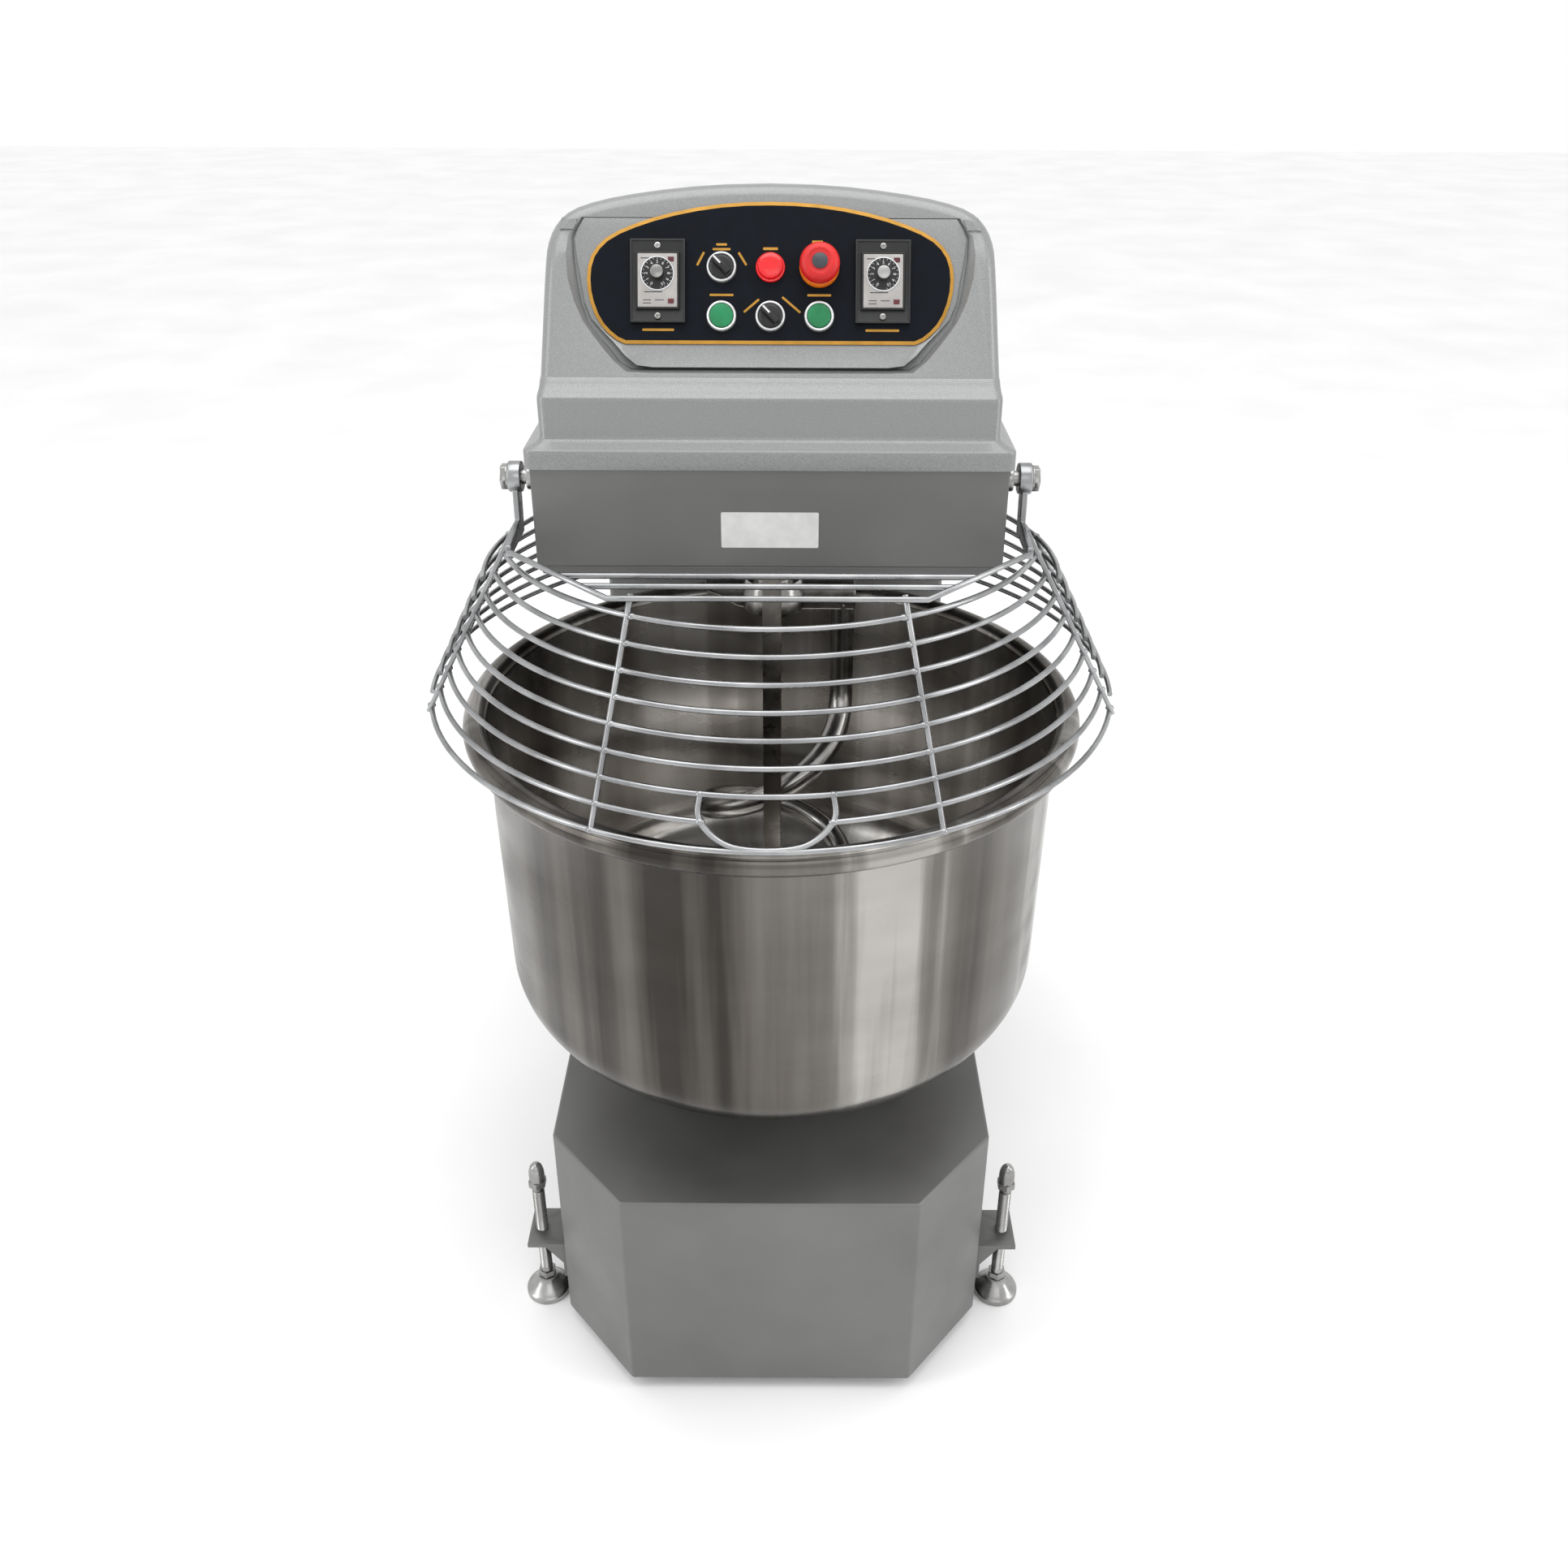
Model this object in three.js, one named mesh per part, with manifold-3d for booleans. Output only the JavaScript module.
// A floor-standing spiral dough mixer. Millimetres, +Z up, the operator stands on the -Y side.
// While the pieces are shaped, the bowl turns about the Z axis; the whole group is then moved
// along Y so that the origin is under the middle of the machine, on the floor.

import * as THREE from 'three';
import { mergeVertices } from 'three/addons/utils/BufferGeometryUtils.js';
import Module from 'manifold-3d';

const wasm = await Module();
wasm.setup();

// ---------- driving dimensions ----------

const gap = 0.3;              // between pieces that touch
const sheet = 3;              // painted steel sheet
const rearY = 790;            // back of base, column and head

const base = {
  frontY: -297,
  chamferY: -186,
  halfWidth: 273,
  frontHalfWidth: 177,
  bottomZ: 20,
  topZ: 332,
};

const bowl = {
  rimRadius: 361,
  beadRadius: 14,
  wallRadius: 334,
  footRadius: 331,
  wall: 3,
  rimZ: 862,
  kneeZ: 532,
  bottomZ: 400,
  dishPower: 2.2,
};

const turntable = { radius: 150, thickness: 12, lift: 10, hubRadius: 60 };

const column = { halfWidth: 242, frontY: 402 };

const head = { halfWidth: 242, frontY: -119, bottomZ: 1054, topZ: 1169 };

const cover = {
  overhang: 5,
  lipDepth: 20,
  wall: 5,
  bandHalfWidth: 232,
  bandInset: 16,
  bandZ: 1240,
  faceZ: 1254,
  faceY: -88,
  crestY: 22,
  crestZ: 1424,
  rearZ: 1318,
};

const panel = {
  tilt: THREE.MathUtils.degToRad(24),
  bottomY: -55.5,
  bottomZ: 1278.5,
  height: 140,
  halfWidth: 184,
  sideHeight: 62,
  footHalfWidth: 150,
  thickness: 2,
};

const control = {
  pitchU: 49,
  rowLow: 27.4,
  rowHigh: 75.5,
  bore: 22.5,
  barrel: 30,
  bezel: 29.5,
  stem: 7.5,
  cap: 11,
  travel: 3,
  buttonBezel: 5,
  selectorBezel: 6,
  collar: 8,
  stopStem: 9,
  stopTravel: 5,
  collarRadius: 20,
  lensRadius: 11,
};
const timer = {
  u: 112.6,
  v: 61,
  width: 55,
  height: 82,
  depth: 7,
  faceWidth: 40,
  faceHeight: 53,
  dialV: 6.5,
};

const guard = {
  rings: 10,
  topRadius: 285,
  topZ: 1096,
  bottomRadius: 390,
  bottomZ: 889,
  wire: 3,
  barY: -95,
  barWidth: 25,
  barThickness: 5,
  pivotY: -88,
  pivotZ: 1151,
  armX: head.halfWidth + 20,
  frontHalfWidth: 149,
  shoulderY: -160,
  rodAngle: THREE.MathUtils.degToRad(25.5),
  mouthHalfWidth: 62,
};

// The hook's bar hangs straight from the hub's arm for the leg's share of its length, then coils.
const spiral = {
  y: 150,
  radius: 88,
  flare: 8,
  bar: 15,
  shaftRadius: 26,
  hubWall: 14,
  hubZ: 905,
  hubHeight: 40,
  armWidth: 34,
  heelReach: 70,
  endZ: 488,
  legShare: 0.195,
  bendShare: 0.04,
  turns: 1.52,
};

const breaker = { y: 15, width: 22, bottomClearance: 32 };

// The rings that the guard's feeding mouth interrupts.
const mouth = { chordRing: guard.rings - 3, endRing: guard.rings - 2 };

const rearGuard = {
  firstRing: 3,
  startY: -62,
  endAngle: THREE.MathUtils.degToRad(143),
  stayX: column.halfWidth - 20,
};

const foot = {
  standOff: 37,
  frontY: -140,
  rearY: 640,
  plateZ: 112,
  plateThickness: 8,
  plateWidth: 62,
  padRadius: 30,
  padHeight: 30,
  screwRadius: 8,
  nutRadius: 12,
  nutZ: 198,
  screwTop: 236,
};
const footX = base.halfWidth + foot.standOff;

const gland = { radius: 12, y: 700, z: 392 };
const pivot = { radius: 8, headRadius: 14 };
const bowlSpindle = { radius: 30, motorRadius: 14 };

const drive = {
  motorY: 585,
  chassisZ: 112,
  chassisThickness: 10,
  bowlPulleyRadius: 170,
  bowlPulleyZ: 52,
  bowlMotorPulleyRadius: 45,
  spiralPulleyRadius: 120,
  spiralPulleyZ: 1096,
  spiralMotorPulleyRadius: 50,
  pulleyHeight: 30,
  grooveDepth: 6,
  beltThickness: 8,
  bowlMotorRadius: 80,
  spiralMotorRadius: 105,
  housingFlange: 30,
  bowlHousingWall: 28,
  bowlHousingHeight: 150,
  spiralHousingWall: 14,
  bowlMotorHeight: 180,
  spiralMotorHeight: 320,
  spiralMotorShaftRadius: 20,
};

// ---------- materials ----------

function finish(color, roughness, metalness) {
  return new THREE.MeshStandardMaterial({ color, roughness, metalness });
}

const greyPaint = finish(0x6d6d6b, 0.5, 0.3);
const silverPaint = finish(0xa9a9a8, 0.45, 0.3);
const stainless = finish(0xc8c9ca, 0.25, 1);
const brightWire = finish(0xb9bbbe, 0.3, 1);
const darkSteel = finish(0x4a4a4c, 0.45, 0.9);
const castIron = finish(0x3b3d40, 0.7, 0.6);
const rubber = finish(0x1a1a1a, 0.9, 0);
const navyPlate = finish(0x0b1420, 0.4, 0);
const blackPlastic = finish(0x121214, 0.5, 0);
const greyPlastic = finish(0xb3b5b6, 0.5, 0);
const redPlastic = finish(0xb31217, 0.35, 0);
const yellowPlastic = finish(0xe08a1c, 0.4, 0);
const greenPlastic = finish(0x1f7a3c, 0.35, 0);
const motorPaint = finish(0x39536b, 0.5, 0.4);

// ---------- solids ----------

function signedVolume(positions, index) {
  const a = new THREE.Vector3();
  const b = new THREE.Vector3();
  const c = new THREE.Vector3();
  let volume = 0;
  for (let i = 0; i < index.length; i += 3) {
    a.fromArray(positions, 3 * index[i]);
    b.fromArray(positions, 3 * index[i + 1]);
    c.fromArray(positions, 3 * index[i + 2]);
    volume += a.dot(b.cross(c));
  }
  return volume;
}

// A closed three.js geometry as a solid whose faces point outwards.
function solid(geometry) {
  const bare = geometry.clone();
  bare.deleteAttribute('normal');
  bare.deleteAttribute('uv');
  const merged = mergeVertices(bare, 1e-3);
  const positions = merged.attributes.position.array;
  const source = merged.index.array;
  const index = [];
  for (let i = 0; i < source.length; i += 3) {
    const [a, b, c] = [source[i], source[i + 1], source[i + 2]];
    if (a !== b && b !== c && c !== a) {
      index.push(a, b, c);
    }
  }
  if (signedVolume(positions, index) < 0) {
    index.reverse();
  }
  const mesh = new wasm.Mesh({
    numProp: 3,
    vertProperties: new Float32Array(positions),
    triVerts: new Uint32Array(index),
  });
  return new wasm.Manifold(mesh);
}

function united(solids) {
  return solids.reduce((sum, next) => sum.add(next));
}

function box(x0, x1, y0, y1, z0, z1) {
  const geometry = new THREE.BoxGeometry(x1 - x0, y1 - y0, z1 - z0);
  geometry.translate((x0 + x1) / 2, (y0 + y1) / 2, (z0 + z1) / 2);
  return solid(geometry);
}

function shapeOf(points) {
  return new THREE.Shape(points.map(([a, b]) => new THREE.Vector2(a, b)));
}

function extruded(points, depth) {
  return new THREE.ExtrudeGeometry(shapeOf(points), { depth, bevelEnabled: false });
}

// An outline in X and Y, from z0 up to z1.
function upright(points, z0, z1) {
  const geometry = extruded(points, z1 - z0);
  geometry.translate(0, 0, z0);
  return solid(geometry);
}

// An outline in Y and Z, from x0 to x1.
function sideways(points, x0, x1) {
  const geometry = extruded(points, x1 - x0);
  geometry.translate(0, 0, x0);
  geometry.applyMatrix4(new THREE.Matrix4().set(0, 0, 1, 0, 1, 0, 0, 0, 0, 1, 0, 0, 0, 0, 0, 1));
  return solid(geometry);
}

// An outline in X and Z, from y0 to y1.
function lengthways(points, y0, y1) {
  const geometry = extruded(points, y1 - y0);
  geometry.translate(0, 0, -y1);
  geometry.rotateX(Math.PI / 2);
  return solid(geometry);
}

// A profile of radius and height, turned about a vertical axis at x, y.
function turned(profile, segments, x = 0, y = 0) {
  const points = profile.map(([r, z]) => new THREE.Vector2(r, z));
  const geometry = new THREE.LatheGeometry(points, segments);
  geometry.rotateX(Math.PI / 2);
  geometry.translate(x, y, 0);
  return solid(geometry);
}

function cylinder(radius, z0, z1, x = 0, y = 0, segments = 16) {
  return turned([[0, z0], [radius, z0], [radius, z1], [0, z1]], segments, x, y);
}

// The corners of an even-sided outline whose flats touch a circle.
function aroundCircle(radius, sides) {
  const reach = radius / Math.cos(Math.PI / sides);
  const corner = (i) => (2 * Math.PI * (i + 0.5)) / sides;
  return Array.from({ length: sides }, (_, i) => [
    reach * Math.cos(corner(i)),
    reach * Math.sin(corner(i)),
  ]);
}

// A round bar of constant section along a curve.
function barAlong(curve, radius, steps, sides = 4) {
  const section = shapeOf(aroundCircle(radius, sides));
  return solid(new THREE.ExtrudeGeometry(section, { extrudePath: curve, steps, bevelEnabled: false }));
}

function rod(from, to, radius, sides = 4) {
  return barAlong(new THREE.LineCurve3(from, to), radius, 1, sides);
}

function vec(x, y, z) {
  return new THREE.Vector3(x, y, z);
}

function arc(centreX, centreY, radius, from, to, steps) {
  return Array.from({ length: steps + 1 }, (_, i) => {
    const angle = from + ((to - from) * i) / steps;
    return [centreX + radius * Math.cos(angle), centreY + radius * Math.sin(angle)];
  });
}

// ---------- the tree that is handed on ----------

const mixer = new THREE.Group();

function add(name, material, shape, parent = mixer) {
  const { vertProperties, triVerts } = shape.getMesh();
  const geometry = new THREE.BufferGeometry();
  geometry.setAttribute('position', new THREE.BufferAttribute(vertProperties, 3));
  geometry.setIndex(new THREE.BufferAttribute(triVerts, 1));
  geometry.computeVertexNormals();
  const mesh = new THREE.Mesh(geometry, material);
  mesh.name = name;
  parent.add(mesh);
  return mesh;
}

// ---------- base ----------

function baseOutline(inset) {
  const half = base.halfWidth - inset;
  const front = base.frontHalfWidth - inset * 0.42;
  const back = rearY - inset;
  const chamfer = base.chamferY + inset * 0.6;
  return [
    [-front, base.frontY + inset],
    [front, base.frontY + inset],
    [half, chamfer],
    [half, back],
    [-half, back],
    [-half, chamfer],
  ];
}

function makeBase() {
  const outer = upright(baseOutline(0), base.bottomZ, base.topZ);
  const inner = upright(baseOutline(sheet), base.bottomZ - 1, base.topZ - sheet);
  const spindleHole = cylinder(turntable.hubRadius + 6, base.topZ - 10, base.topZ + 10, 0, 0, 32);
  const wiring = box(-120, 120, drive.motorY - 60, drive.motorY + 60, base.topZ - 10, base.topZ + 10);
  return outer.subtract(inner).subtract(spindleHole).subtract(wiring);
}

function makeChassis() {
  const top = drive.chassisZ + drive.chassisThickness;
  const plate = upright(baseOutline(sheet + gap), drive.chassisZ, top);
  const beltWay = cylinder(bowlSpindle.radius + 6, drive.chassisZ - 1, top + 1);
  const motorWay = cylinder(bowlSpindle.motorRadius + 6, drive.chassisZ - 1, top + 1, 0, drive.motorY);
  return plate.subtract(beltWay).subtract(motorWay);
}

function footPlaces() {
  const places = [];
  for (const [end, y] of [['front', foot.frontY], ['rear', foot.rearY]]) {
    for (const [side, x] of [['left', -footX], ['right', footX]]) {
      places.push({ name: `${end}_${side}`, x, y });
    }
  }
  return places;
}

function makeFootBracket(place) {
  const sign = Math.sign(place.x);
  const near = base.halfWidth + gap;
  const far = footX + 15;
  const half = foot.plateWidth / 2;
  const top = foot.plateZ + foot.plateThickness;
  const [x0, x1] = sign > 0 ? [near, far] : [-far, -near];
  const web = sign > 0 ? [near, near + 6] : [-near - 6, -near];
  const plate = box(x0, x1, place.y - half, place.y + half, foot.plateZ, top);
  const flange = box(web[0], web[1], place.y - half, place.y + half, foot.plateZ - 52, top);
  const hole = cylinder(foot.screwRadius + gap, foot.plateZ - 1, top + 1, place.x, place.y, 12);
  return plate.add(flange).subtract(hole);
}

function makeLevellingScrew(place) {
  const neck = foot.padHeight;
  const dome = foot.nutRadius;
  const profile = [
    [0, 8],
    [foot.screwRadius, 8],
    [foot.screwRadius, neck + gap],
    [foot.nutRadius, neck + gap],
    [foot.nutRadius, neck + 10],
    [foot.screwRadius, neck + 10],
    [foot.screwRadius, foot.nutZ],
    [dome, foot.nutZ],
    [dome, foot.screwTop - 12],
    [dome * 0.7, foot.screwTop - 3],
    [0, foot.screwTop],
  ];
  return turned(profile, 8, place.x, place.y);
}

function makeFootPad(place) {
  const clear = foot.screwRadius + gap;
  const profile = [
    [0, 0],
    [foot.padRadius, 0],
    [foot.padRadius, 9],
    [foot.padRadius * 0.45, foot.padHeight - 4],
    [foot.padRadius * 0.42, foot.padHeight],
    [clear, foot.padHeight],
    [clear, 8 - gap],
    [0, 8 - gap],
  ];
  return turned(profile, 16, place.x, place.y);
}

// ---------- bowl and its drive ----------

function dishPoints(inset, steps) {
  const points = [];
  for (let i = 0; i <= steps; i += 1) {
    const angle = (Math.PI / 2) * (i / steps);
    const power = 2 / bowl.dishPower;
    const radius = (bowl.footRadius - inset) * Math.sin(angle) ** power;
    const depth = (bowl.kneeZ - bowl.bottomZ - inset) * Math.cos(angle) ** power;
    points.push([radius, bowl.kneeZ - depth]);
  }
  return points;
}

function makeBowl() {
  const beadZ = bowl.rimZ - bowl.beadRadius;
  const beadR = bowl.rimRadius - bowl.beadRadius;
  const bead = arc(beadR, beadZ, bowl.beadRadius, -0.35 * Math.PI, 0.9 * Math.PI, 6);
  const outside = dishPoints(0, 7);
  const inside = dishPoints(bowl.wall, 7).reverse();
  const profile = [...outside, [bowl.wallRadius, beadZ - bowl.beadRadius], ...bead, ...inside];
  return turned(profile, 40);
}

function makeTurntable() {
  const top = bowl.bottomZ - gap;
  const underside = base.topZ + turntable.lift;
  const profile = [
    [0, underside],
    [turntable.hubRadius, underside],
    [turntable.hubRadius, top - turntable.thickness - 8],
    [turntable.radius, top - turntable.thickness],
    [turntable.radius, top],
    [0, top],
  ];
  return turned(profile, 24);
}

function pulleyProfile(radius, bore, z) {
  const half = drive.pulleyHeight / 2;
  const groove = radius - drive.grooveDepth;
  return [
    [bore, z - half],
    [radius, z - half],
    [radius, z - half + 4],
    [groove, z - half + 7],
    [groove, z + half - 7],
    [radius, z + half - 4],
    [radius, z + half],
    [bore, z + half],
    [bore, z - half],
  ];
}

function makePulley(radius, shaftRadius, z, y) {
  return turned(pulleyProfile(radius, shaftRadius + gap, z), 16, 0, y);
}

// The bore's flats clear the corners of a shaft that turns inside it.
function makeBearingHousing(shaftRadius, wall, z0, z1, y) {
  const sides = 16;
  const bore = (shaftRadius + gap) / Math.cos(Math.PI / sides);
  const radius = shaftRadius + wall;
  const flange = radius + drive.housingFlange;
  const profile = [
    [bore, z0],
    [flange, z0],
    [flange, z0 + 12],
    [radius, z0 + 16],
    [radius, z1],
    [bore, z1],
    [bore, z0],
  ];
  return turned(profile, sides, 0, y);
}

// A flat belt round two pulleys whose centres are at y0 and y1.
function beltOutline(r0, y0, r1, y1, steps) {
  const lean = Math.asin((r0 - r1) / (y1 - y0));
  const near = arc(0, y0, r0, Math.PI - lean, 2 * Math.PI + lean, steps);
  const far = arc(0, y1, r1, lean, Math.PI - lean, steps);
  return [...near, ...far];
}

function makeBelt(r0, y0, r1, y1, z) {
  const steps = 12;
  const width = drive.pulleyHeight - 16;
  const cornerReach = 1 / Math.cos((0.6 * Math.PI) / steps);
  const seat = (radius) => (radius - drive.grooveDepth + gap) * cornerReach;
  const over = drive.beltThickness;
  const outside = beltOutline(seat(r0) + over, y0, seat(r1) + over, y1, steps);
  const inside = beltOutline(seat(r0), y0, seat(r1), y1, steps);
  return upright(outside, z - width / 2, z + width / 2).subtract(upright(inside, z - width, z + width));
}

function makeMotor(radius, z0, z1, flangeZ, y) {
  const body = cylinder(radius, z0, z1, 0, y, 20);
  const flange = box(-radius, radius, y - radius, y + radius, flangeZ, flangeZ + 14);
  const middle = (z0 + z1) / 2;
  const terminalBox = box(-45, 45, y + radius - 10, y + radius + 38, middle - 45, middle + 45);
  return body.add(flange).add(terminalBox);
}

// ---------- column and head ----------

function makeColumn() {
  const top = head.bottomZ - gap;
  const bottom = base.topZ + gap;
  const back = rearY - sheet - gap;
  const half = column.halfWidth;
  const outer = box(-half, half, column.frontY, back, bottom, top);
  const hollow = box(-half + sheet, half - sheet, column.frontY + sheet, back - sheet, bottom - 1, top + 1);
  const serviceHole = box(-half + 30, half - 30, back - 20, back + 1, bottom + 30, top - 30);
  const glandHole = turnedSideways(gland.radius + gap, half - 20, half + 20, gland.y, gland.z);
  return outer.subtract(hollow).subtract(serviceHole).subtract(glandHole);
}

// A round bar along X.
function turnedSideways(radius, x0, x1, y, z, segments = 12) {
  const geometry = new THREE.CylinderGeometry(radius, radius, x1 - x0, segments);
  geometry.rotateZ(Math.PI / 2);
  geometry.translate((x0 + x1) / 2, y, z);
  return solid(geometry);
}

function makeRearCover() {
  const half = column.halfWidth - 6;
  return box(-half, half, rearY - sheet, rearY, base.topZ + 12, head.bottomZ - 12);
}

function makeGland() {
  const wall = column.halfWidth;
  const inside = turnedSideways(gland.radius, wall - 22, wall + gap, gland.y, gland.z);
  const nut = turnedSideways(gland.radius + 6, wall + gap, wall + 9, gland.y, gland.z, 6);
  const cap = turnedSideways(gland.radius + 2, wall + 9, wall + 24, gland.y, gland.z);
  const bore = turnedSideways(6, wall - 30, wall + 30, gland.y, gland.z, 12);
  return united([inside, nut, cap]).subtract(bore);
}

function makeHead() {
  const half = head.halfWidth;
  const outer = box(-half, half, head.frontY, rearY, head.bottomZ, head.topZ);
  const floor = head.bottomZ + sheet;
  const inner = box(-half + sheet, half - sheet, head.frontY + sheet, rearY - sheet, floor, head.topZ + 1);
  const shaftHole = cylinder(spiral.shaftRadius + 6, head.bottomZ - 1, head.bottomZ + 10, 0, spiral.y);
  const way = drive.spiralMotorRadius + 25;
  const below = head.bottomZ - 1;
  const motorWay = box(-way, way, drive.motorY - way, drive.motorY + way, below, head.bottomZ + 10);
  const slot = breaker.width / 2 + gap;
  const barHole = box(-slot, slot, breaker.y - slot, breaker.y + slot, head.bottomZ - 1, head.bottomZ + 10);
  let shell = outer.subtract(inner).subtract(shaftHole).subtract(motorWay).subtract(barHole);
  for (const side of [-1, 1]) {
    const [x0, x1] = side < 0 ? [-half - 5, -half + 10] : [half - 10, half + 5];
    shell = shell.subtract(turnedSideways(pivot.radius + gap, x0, x1, guard.pivotY, guard.pivotZ));
  }
  return shell;
}

function coverSide(inset) {
  const front = head.frontY - cover.overhang * 2 + inset;
  const low = head.topZ + gap;
  const band = front + cover.bandInset;
  return [
    [front, low],
    [front, low + cover.lipDepth - 4],
    [front + 4, low + cover.lipDepth],
    [band, low + cover.lipDepth + 7],
    [band + 6, cover.bandZ - inset],
    [cover.faceY - 4 + inset, cover.faceZ - 4 - inset],
    [cover.faceY + inset, cover.faceZ - inset],
    [cover.crestY - 20 + inset, cover.crestZ - 16 - inset],
    [cover.crestY - 8, cover.crestZ - 4 - inset],
    [cover.crestY + 12, cover.crestZ - inset],
    [rearY - 30, cover.rearZ + 10 - inset],
    [rearY - 6 - inset, cover.rearZ - 16 - inset],
    [rearY - inset, low],
  ];
}

function coverFront(inset) {
  const half = cover.bandHalfWidth - inset;
  const top = cover.crestZ - inset;
  const right = [
    [half, head.topZ - 10],
    [half - 1, cover.bandZ],
    [half - 3, top - 76],
    [half - 8, top - 55],
    [half - 17, top - 38],
    [half - 31, top - 25],
    [half - 72, top - 14],
    [half - 134, top - 4],
    [0, top + 1],
  ];
  const left = right.slice(0, -1).reverse().map(([x, z]) => [-x, z]);
  return [...right, ...left];
}

function makeCoverBody(inset) {
  const lip = head.halfWidth + cover.overhang - inset;
  const side = sideways(coverSide(inset), -lip, lip);
  const front = lengthways(coverFront(inset), head.frontY - 60, rearY + 60);
  const lipTop = head.topZ + cover.lipDepth - inset;
  const lipBand = box(-lip, lip, head.frontY - 60, rearY + 60, head.topZ - 20, lipTop);
  return side.intersect(front.add(lipBand));
}

function recessOutline() {
  const half = panel.halfWidth + 14;
  const low = panel.bottomZ - 14;
  const footHalf = panel.footHalfWidth + 8;
  return [
    [-footHalf, low],
    [footHalf, low],
    [half - 14, low + 42],
    [half, low + 92],
    [half - 2, cover.crestZ + 20],
    [-half + 2, cover.crestZ + 20],
    [-half, low + 92],
    [-half + 14, low + 42],
  ];
}

// Everything in front of the plane that the panel lies on.
function inFrontOfPanel() {
  const slope = Math.tan(panel.tilt);
  const low = panel.bottomZ - 40;
  const high = cover.crestZ + 30;
  const at = (z) => panel.bottomY + (z - panel.bottomZ) * slope;
  return sideways([[-400, low], [at(low), low], [at(high), high], [-400, high]], -300, 300);
}

function makeCover() {
  const hollow = makeCoverBody(cover.wall).subtract(inFrontOfPanel().add(
    onPanel(new THREE.BoxGeometry(600, 600, cover.wall * 2))));
  const recess = lengthways(recessOutline(), -300, 200).intersect(inFrontOfPanel());
  const bottomOpening = box(-head.halfWidth + 8, head.halfWidth - 8, head.frontY + 4, rearY - 8,
    head.topZ - 20, head.topZ + 6);
  let shell = makeCoverBody(0).subtract(recess).subtract(hollow).subtract(bottomOpening);
  for (const [u, v] of roundPlaces()) {
    shell = shell.subtract(onPanel(disc(control.bore / 2 + 1, -30, 30, u, v)));
  }
  for (const side of [-1, 1]) {
    const slot = new THREE.BoxGeometry(timer.faceWidth, timer.faceHeight, 60);
    slot.translate(side * timer.u, timer.v, 0);
    shell = shell.subtract(onPanel(slot));
  }
  return shell;
}

// ---------- control panel, in its own frame: U along X, V up the slope, W outwards ----------

const panelFrame = new THREE.Matrix4().makeBasis(
  vec(1, 0, 0),
  vec(0, Math.sin(panel.tilt), Math.cos(panel.tilt)),
  vec(0, -Math.cos(panel.tilt), Math.sin(panel.tilt)),
).setPosition(0, panel.bottomY, panel.bottomZ);

function onPanel(geometry) {
  return solid(geometry.clone().applyMatrix4(panelFrame));
}

function disc(radius, w0, w1, u, v, segments = 14) {
  const geometry = new THREE.CylinderGeometry(radius, radius, w1 - w0, segments);
  geometry.rotateX(Math.PI / 2);
  geometry.translate(u, v, (w0 + w1) / 2);
  return geometry;
}

function slab(width, height, w0, w1, u, v) {
  const geometry = new THREE.BoxGeometry(width, height, w1 - w0);
  geometry.translate(u, v, (w0 + w1) / 2);
  return solid(geometry);
}

function roundPlaces() {
  const places = [];
  for (const v of [control.rowLow, control.rowHigh]) {
    for (const u of [-control.pitchU, 0, control.pitchU]) {
      places.push([u, v]);
    }
  }
  return places;
}

// The lens-shaped plate: a shallow arc on top, corners drawn in to a flat foot.
function panelOutline() {
  const rise = panel.height - panel.sideHeight;
  const radius = (panel.halfWidth ** 2 + rise ** 2) / (2 * rise);
  const centre = panel.height - radius;
  const end = Math.asin((panel.sideHeight - centre) / radius);
  const top = arc(0, centre, radius, end, Math.PI - end, 14);
  const corner = new THREE.QuadraticBezierCurve(
    new THREE.Vector2(panel.footHalfWidth, 0),
    new THREE.Vector2(panel.halfWidth - 8, 16),
    new THREE.Vector2(panel.halfWidth, panel.sideHeight),
  ).getPoints(4).slice(0, -1);
  const right = corner.map((p) => [p.x, p.y]);
  const left = right.slice().reverse().map(([u, v]) => [-u, v]);
  return [...right, ...top, ...left];
}

const panelTop = panel.thickness + gap;

function makePanelPlate() {
  let plate = upright(panelOutline(), gap, panelTop);
  for (const [u, v] of roundPlaces()) {
    plate = plate.subtract(solid(disc(control.bore / 2, -5, 5, u, v)));
  }
  for (const side of [-1, 1]) {
    plate = plate.subtract(slab(timer.faceWidth, timer.faceHeight, -5, 5, side * timer.u, timer.v));
  }
  return plate;
}

const bezelSeat = panelTop + gap;
const bezelFloor = bezelSeat + 1;

// A front ring on the plate with a threaded barrel behind it, bored through for the moving part.
// A pocket in the ring takes the head of a button.
function makeBezel(u, v, radius, height, bore, pocket = bore) {
  const ring = solid(disc(radius, bezelSeat, bezelSeat + height, u, v));
  const barrel = solid(disc(control.bore / 2 - gap, -control.barrel, bezelFloor, u, v));
  const hole = solid(disc(bore, -control.barrel - 5, bezelSeat + height + 5, u, v));
  const mouth = solid(disc(pocket, bezelFloor, bezelSeat + height + 5, u, v));
  return ring.add(barrel).subtract(hole).subtract(mouth);
}

function makeSelectorKnob(u, v, angle) {
  const front = bezelSeat + control.selectorBezel + gap;
  const stem = solid(disc(control.stem, -20, front, u, v));
  const plate = solid(disc(12, front, front + 5, u, v));
  const lever = new THREE.BoxGeometry(9, 25, 12);
  lever.translate(0, 0, front + 10);
  lever.rotateZ(angle);
  lever.translate(u, v, 0);
  return united([stem, plate, solid(lever)]);
}

function makeCap(u, v) {
  const underside = bezelFloor + control.travel + gap;
  const stem = solid(disc(control.stem, -20, underside + 1, u, v));
  const crown = solid(disc(control.cap, underside, underside + 4, u, v));
  return stem.add(crown);
}

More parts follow.
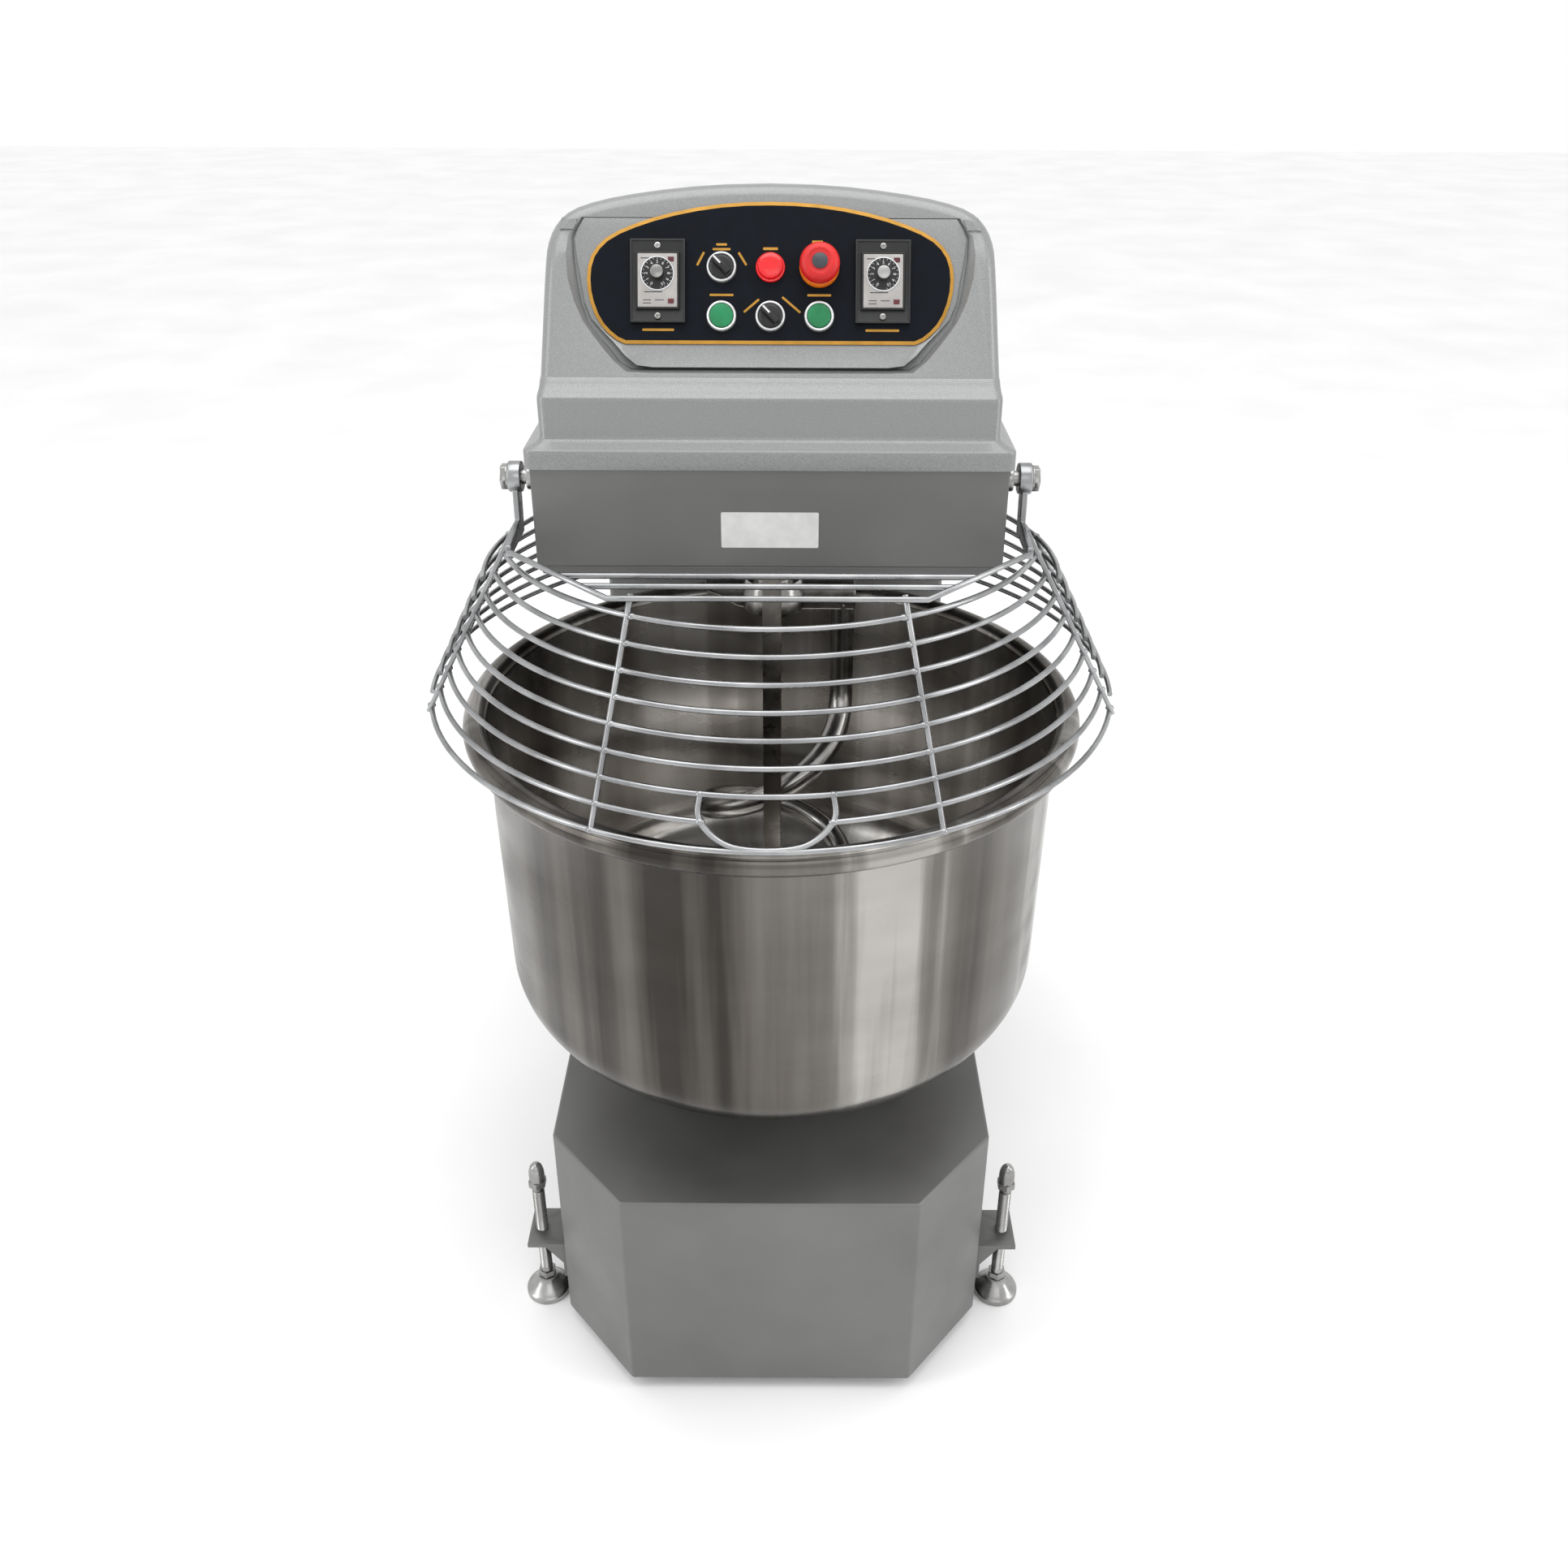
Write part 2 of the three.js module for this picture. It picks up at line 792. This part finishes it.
function makeStopButton(u, v) {
  const underside = bezelSeat + control.collar + control.stopTravel + 3;
  const stem = solid(disc(control.stopStem, -20, underside + 1, u, v));
  const profile = [[0, 0], [19, 0], [20, 3], [20, 7], [17, 12], [10, 15], [0, 16]];
  const crown = new THREE.LatheGeometry(profile.map(([r, h]) => new THREE.Vector2(r, h)), 16);
  crown.rotateX(Math.PI / 2);
  crown.translate(u, v, underside);
  return stem.add(solid(crown));
}

function makeTimerFrame(u) {
  const low = panelTop + gap;
  const plate = slab(timer.width, timer.height, low, low + timer.depth, u, timer.v);
  const body = slab(timer.faceWidth - 1, timer.faceHeight - 1, -60, low + 1, u, timer.v);
  const pocket = slab(timer.faceWidth, timer.faceHeight, low + 3, low + timer.depth + 5, u, timer.v);
  const bore = solid(disc(4 + gap, -12, low + 10, u, timer.v + timer.dialV));
  return plate.add(body).subtract(pocket).subtract(bore);
}

function makeTimerFace(u) {
  const low = panelTop + gap + 3 + gap;
  const face = slab(timer.faceWidth - 2 * gap, timer.faceHeight - 2 * gap, low, low + 4.5, u, timer.v);
  return face.subtract(solid(disc(4 + gap, low - 5, low + 10, u, timer.v + timer.dialV)));
}

function makeTimerDial(u) {
  const low = panelTop + gap + 3 + gap + 4.5 + gap;
  const v = timer.v + timer.dialV;
  const stem = solid(disc(4, -8, low + 1, u, v));
  const plate = solid(disc(17, low, low + 2, u, v));
  const grip = solid(disc(7, low + 1, low + 13, u, v, 18));
  const pointer = slab(2, 5, low + 1, low + 13.5, u, v + 5.5);
  return united([stem, plate, grip, pointer]);
}

// ---------- guard ----------

function ringRadius(i) {
  return guard.topRadius + ((guard.bottomRadius - guard.topRadius) * i) / (guard.rings - 1);
}

function ringZ(i) {
  return guard.topZ + ((guard.bottomZ - guard.topZ) * i) / (guard.rings - 1);
}

// A point on the cone of the guard: ring number (fractions allowed) and angle from the front.
function onGuard(i, angle) {
  const r = ringRadius(i);
  return vec(r * Math.sin(angle), -r * Math.cos(angle), ringZ(i));
}

class RingArc extends THREE.Curve {
  constructor(i, from, to) {
    super();
    this.i = i;
    this.from = from;
    this.to = to;
  }

  getPoint(t, target = new THREE.Vector3()) {
    return target.copy(onGuard(this.i, this.from + (this.to - this.from) * t));
  }
}

function barAngle(i) {
  return Math.acos(-guard.barY / ringRadius(i));
}

function mouthAngle(i) {
  return Math.asin(guard.mouthHalfWidth / ringRadius(i));
}

function makeMouthWire() {
  const last = guard.rings - 1;
  const deep = ringRadius(last) * mouthAngle(last);
  const side = (s) => onGuard(mouth.chordRing, s * mouthAngle(mouth.chordRing));
  const down = (s) => onGuard(mouth.endRing, (s * deep) / ringRadius(mouth.endRing));
  const low = (s) => onGuard(last - 0.15, (s * deep * 0.5) / ringRadius(last));
  const curve = new THREE.CatmullRomCurve3([side(-1), down(-1), low(-1), low(1), down(1), side(1)]);
  return barAlong(curve, guard.wire, 12);
}

function makeFlatBar(side) {
  const last = guard.rings - 1;
  const section = shapeOf([
    [-guard.barThickness / 2, -guard.barWidth / 2],
    [guard.barThickness / 2, -guard.barWidth / 2],
    [guard.barThickness / 2, guard.barWidth / 2],
    [-guard.barThickness / 2, guard.barWidth / 2],
  ]);
  const from = onGuard(0, side * barAngle(0));
  const to = onGuard(last, side * barAngle(last));
  const length = from.distanceTo(to) + 2 * guard.wire;
  const geometry = new THREE.ExtrudeGeometry(section, { depth: length, bevelEnabled: false });
  geometry.translate(0, 0, -guard.wire);
  const along = to.clone().sub(from).normalize();
  const out = vec(side, 0, 0).addScaledVector(along, -along.x * side).normalize();
  const across = along.clone().cross(out);
  geometry.applyMatrix4(new THREE.Matrix4().makeBasis(out, across, along).setPosition(from));
  return solid(geometry);
}

function makeHingeArm(side) {
  const shoulder = onGuard(0, side * barAngle(0));
  const [x0, x1] = side > 0 ? [guard.armX - 3, guard.armX + 3] : [-guard.armX - 3, -guard.armX + 3];
  const reach = [
    [guard.pivotY - 12, guard.pivotZ],
    [guard.pivotY + 12, guard.pivotZ],
    [guard.barY + 14, guard.topZ - 6],
    [guard.shoulderY, guard.topZ - 6],
    [guard.shoulderY, guard.topZ + 6],
    [guard.barY - 16, guard.topZ + 12],
  ];
  const arm = sideways(reach, x0, x1);
  const bossEnds = [Math.min(x0, x1) - 4, Math.max(x0, x1) + 4];
  const boss = turnedSideways(17, ...bossEnds, guard.pivotY, guard.pivotZ, 14);
  const bore = turnedSideways(pivot.radius + gap, x0 - 20, x1 + 20, guard.pivotY, guard.pivotZ);
  const tie = rod(vec(side * guard.armX, guard.barY, guard.topZ), shoulder, 5);
  return united([arm, boss, tie]).subtract(bore);
}

function makeTopFrame() {
  const z = guard.topZ;
  const front = -guard.topRadius + 6;
  const corner = (side) => vec(side * guard.frontHalfWidth, front, z);
  const shoulder = (side) => vec(side * guard.armX, guard.shoulderY, z);
  const wires = [rod(corner(-1), corner(1), guard.wire)];
  for (const side of [-1, 1]) {
    wires.push(rod(shoulder(side), corner(side), guard.wire));
  }
  for (const share of [0.25, 0.47]) {
    const end = (side) => corner(side).lerp(shoulder(side), share);
    wires.push(rod(end(-1), end(1), guard.wire));
  }
  return united(wires);
}

function makeFrontGuard() {
  const last = guard.rings - 1;
  const wires = [makeTopFrame(), makeMouthWire()];
  for (let i = 1; i <= last; i += 1) {
    const end = barAngle(i);
    if (i === mouth.endRing) {
      const start = mouthAngle(i);
      wires.push(barAlong(new RingArc(i, start, end), guard.wire, 7));
      wires.push(barAlong(new RingArc(i, -end, -start), guard.wire, 7));
    } else {
      wires.push(barAlong(new RingArc(i, -end, end), guard.wire, 16));
    }
  }
  for (const side of [-1, 1]) {
    const top = onGuard(0.2, side * guard.rodAngle * 1.05);
    wires.push(rod(top, onGuard(last, side * guard.rodAngle), guard.wire));
    wires.push(makeFlatBar(side), makeHingeArm(side));
  }
  return united(wires);
}

// The fixed wires beside the column, carried by a flat stay bolted to the front of the column.
function makeRearGuard(side) {
  const last = guard.rings - 1;
  const wires = [];
  for (let i = rearGuard.firstRing; i <= last; i += 1) {
    const start = Math.acos(-rearGuard.startY / ringRadius(i));
    wires.push(barAlong(new RingArc(i, side * start, side * rearGuard.endAngle), guard.wire, 6));
  }
  for (const angle of [THREE.MathUtils.degToRad(104), rearGuard.endAngle]) {
    const top = onGuard(rearGuard.firstRing, side * angle);
    wires.push(rod(top, onGuard(last, side * angle), guard.wire));
  }
  const middle = onGuard((rearGuard.firstRing + last) / 2, side * rearGuard.endAngle);
  const wallY = column.frontY - gap;
  wires.push(rod(middle, vec(side * rearGuard.stayX, wallY - 2, middle.z), 5));
  const stay = [side * (rearGuard.stayX - 20), side * (rearGuard.stayX + 14)];
  const [x0, x1] = [Math.min(...stay), Math.max(...stay)];
  wires.push(box(x0, x1, wallY - 5, wallY, middle.z - 35, middle.z + 35));
  return united(wires);
}

function makePivot(side) {
  const wall = head.halfWidth;
  const outer = guard.armX + 9;
  const span = side > 0 ? [wall - 20, outer] : [-outer, -wall + 20];
  const cap = side > 0 ? [outer - 1, outer + 6] : [-outer - 6, -outer + 1];
  const collar = side > 0 ? [wall + gap, wall + 8] : [-wall - 8, -wall - gap];
  return united([
    turnedSideways(pivot.radius, span[0], span[1], guard.pivotY, guard.pivotZ),
    turnedSideways(pivot.headRadius, cap[0], cap[1], guard.pivotY, guard.pivotZ, 6),
    turnedSideways(pivot.headRadius, collar[0], collar[1], guard.pivotY, guard.pivotZ),
  ]);
}

// ---------- spiral and breaker bar ----------

// How far round the coil a share of the bar's length has got. The bend eases it out of the leg.
function coiled(share) {
  const past = share - spiral.legShare;
  return (past + Math.hypot(past, spiral.bendShare)) / 2;
}

class HookBar extends THREE.Curve {
  getPoint(t, target = new THREE.Vector3()) {
    const round = coiled(t) / coiled(1);
    const angle = -2 * Math.PI * spiral.turns * round;
    const radius = spiral.radius + spiral.flare * (1 - (1 - round) ** 3);
    const start = spiral.hubZ + 10;
    const drop = (start - spiral.endZ) * (1 - (1 - t) ** 2);
    return target.set(radius * Math.cos(angle), spiral.y + radius * Math.sin(angle), start - drop);
  }
}

function makeHook() {
  const armZ = spiral.hubZ;
  const top = armZ + spiral.hubHeight;
  const hub = cylinder(spiral.shaftRadius + spiral.hubWall, armZ, top, 0, spiral.y);
  const reach = spiral.radius + spiral.bar;
  const half = spiral.armWidth / 2;
  const arm = box(-spiral.heelReach, reach, spiral.y - half, spiral.y + half, armZ + 2, top - 6);
  const bar = barAlong(new HookBar(), spiral.bar, 44, 8);
  const bore = cylinder(spiral.shaftRadius * 0.6, armZ - 1, top - 10, 0, spiral.y);
  return united([hub, arm, bar]).subtract(bore);
}

function makeSpiralShaft() {
  const low = spiral.hubZ + spiral.hubHeight + gap;
  const top = drive.spiralPulleyZ + drive.pulleyHeight / 2 + 12;
  return cylinder(spiral.shaftRadius, low, top, 0, spiral.y);
}

function makeBreakerBar() {
  const half = breaker.width / 2;
  const low = bowl.bottomZ + bowl.wall + breaker.bottomClearance;
  const bar = box(-half, half, breaker.y - half, breaker.y + half, low, head.bottomZ + 40);
  const foot = box(-half - 20, half + 20, breaker.y - half - 14, breaker.y + half + 14,
    head.bottomZ + sheet + gap, head.bottomZ + sheet + 14);
  return bar.add(foot);
}

// ---------- assembly ----------

add('base_casing', greyPaint, makeBase());
add('chassis_plate', darkSteel, makeChassis());
for (const place of footPlaces()) {
  add(`foot_bracket_${place.name}`, greyPaint, makeFootBracket(place));
  add(`levelling_screw_${place.name}`, stainless, makeLevellingScrew(place));
  add(`foot_pad_${place.name}`, stainless, makeFootPad(place));
}

add('bowl', stainless, makeBowl());
add('bowl_turntable', castIron, makeTurntable());
const spindleLow = drive.bowlPulleyZ - drive.pulleyHeight / 2 - 6;
add('bowl_spindle', darkSteel, cylinder(bowlSpindle.radius, spindleLow, base.topZ + turntable.lift - gap));
const bowlHousingZ = drive.chassisZ + drive.chassisThickness + gap;
const bowlHousingTop = bowlHousingZ + drive.bowlHousingHeight;
add('bowl_bearing_housing', castIron,
  makeBearingHousing(bowlSpindle.radius, drive.bowlHousingWall, bowlHousingZ, bowlHousingTop, 0));
add('bowl_pulley', castIron, makePulley(drive.bowlPulleyRadius, bowlSpindle.radius, drive.bowlPulleyZ, 0));
const bowlMotorTop = bowlHousingZ + drive.bowlMotorHeight;
add('bowl_motor', motorPaint,
  makeMotor(drive.bowlMotorRadius, bowlHousingZ, bowlMotorTop, bowlHousingZ, drive.motorY));
const bowlMotorShaft = cylinder(bowlSpindle.motorRadius, spindleLow, bowlHousingZ - gap, 0, drive.motorY);
const bowlMotorSheave = pulleyProfile(drive.bowlMotorPulleyRadius, 0, drive.bowlPulleyZ);
add('bowl_motor_pulley', castIron, turned(bowlMotorSheave, 16, 0, drive.motorY).add(bowlMotorShaft));
add('bowl_belt', rubber,
  makeBelt(drive.bowlPulleyRadius, 0, drive.bowlMotorPulleyRadius, drive.motorY, drive.bowlPulleyZ));

add('column_casing', greyPaint, makeColumn());
add('rear_cover', greyPaint, makeRearCover());
add('cable_gland', blackPlastic, makeGland());
add('electrical_box', greyPlastic, box(-140, 140, column.frontY + sheet + 4, column.frontY + 60, 420, 640));
add('head_casing', greyPaint, makeHead());
add('head_cover', silverPaint, makeCover());

const spiralMotorTop = head.bottomZ - 24;
const spiralMotorLow = spiralMotorTop - drive.spiralMotorHeight;
add('spiral_motor', motorPaint,
  makeMotor(drive.spiralMotorRadius, spiralMotorLow, spiralMotorTop, spiralMotorTop - 14, drive.motorY));
const spiralMotorShaft = cylinder(
  drive.spiralMotorShaftRadius, spiralMotorTop + gap, drive.spiralPulleyZ + 10, 0, drive.motorY);
const spiralMotorSheave = pulleyProfile(drive.spiralMotorPulleyRadius, 0, drive.spiralPulleyZ);
add('spiral_motor_pulley', castIron,
  turned(spiralMotorSheave, 16, 0, drive.motorY).add(spiralMotorShaft));
add('spiral_pulley', castIron,
  makePulley(drive.spiralPulleyRadius, spiral.shaftRadius, drive.spiralPulleyZ, spiral.y));
add('spiral_belt', rubber, makeBelt(
  drive.spiralPulleyRadius, spiral.y, drive.spiralMotorPulleyRadius, drive.motorY, drive.spiralPulleyZ));
const spiralHousingTop = drive.spiralPulleyZ - drive.pulleyHeight / 2 - 2;
add('spiral_bearing_housing', castIron, makeBearingHousing(
  spiral.shaftRadius, drive.spiralHousingWall, head.bottomZ + sheet + gap, spiralHousingTop, spiral.y));
add('spiral_shaft', stainless, makeSpiralShaft());
add('spiral_hook', stainless, makeHook());
add('breaker_bar', stainless, makeBreakerBar());

add('guard_front', brightWire, makeFrontGuard());
for (const [name, side] of [['left', -1], ['right', 1]]) {
  add(`guard_rear_${name}`, brightWire, makeRearGuard(side));
  add(`guard_pivot_${name}`, stainless, makePivot(side));
}
const switchX = head.halfWidth - sheet - 4;
const switchZ = guard.pivotZ - 30;
add('guard_switch', blackPlastic,
  box(switchX - 30, switchX - 18, guard.pivotY - 15, guard.pivotY + 15, switchZ - 15, switchZ + 15));

const controls = new THREE.Group();
controls.applyMatrix4(panelFrame);
mixer.add(controls);
const selectorTurn = THREE.MathUtils.degToRad(45);
const bore = control.stem + gap;
const { pitchU, rowLow, rowHigh, bezel } = control;
add('control_panel', navyPlate, makePanelPlate(), controls);
for (const [name, side] of [['left', -1], ['right', 1]]) {
  add(`timer_frame_${name}`, blackPlastic, makeTimerFrame(side * timer.u), controls);
  add(`timer_face_${name}`, greyPlastic, makeTimerFace(side * timer.u), controls);
  add(`timer_dial_${name}`, blackPlastic, makeTimerDial(side * timer.u), controls);
}
add('mode_selector_bezel', stainless,
  makeBezel(-pitchU, rowHigh, bezel / 2, control.selectorBezel, bore), controls);
add('mode_selector_knob', blackPlastic, makeSelectorKnob(-pitchU, rowHigh, selectorTurn), controls);
add('cycle_selector_bezel', stainless,
  makeBezel(0, rowLow, bezel / 2, control.selectorBezel, bore), controls);
add('cycle_selector_knob', blackPlastic, makeSelectorKnob(0, rowLow, selectorTurn), controls);
const lampRing = solid(disc(bezel / 2, panelTop + gap, panelTop + 5, 0, rowHigh));
const lampLens = solid(disc(control.lensRadius, -20, panelTop + 11, 0, rowHigh));
add('power_lamp', redPlastic, lampRing.add(lampLens), controls);
add('stop_collar', yellowPlastic,
  makeBezel(pitchU, rowHigh, control.collarRadius, control.collar, control.stopStem + gap), controls);
add('stop_button', redPlastic, makeStopButton(pitchU, rowHigh), controls);
for (const [name, side] of [['left', -1], ['right', 1]]) {
  add(`start_button_bezel_${name}`, stainless,
    makeBezel(side * pitchU, rowLow, bezel / 2, control.buttonBezel, bore, control.cap + gap), controls);
  add(`start_button_${name}`, greenPlastic, makeCap(side * pitchU, rowLow), controls);
}

const frontMost = guard.bottomRadius + guard.wire;
mixer.position.y = (frontMost - rearY) / 2;

export default mixer;
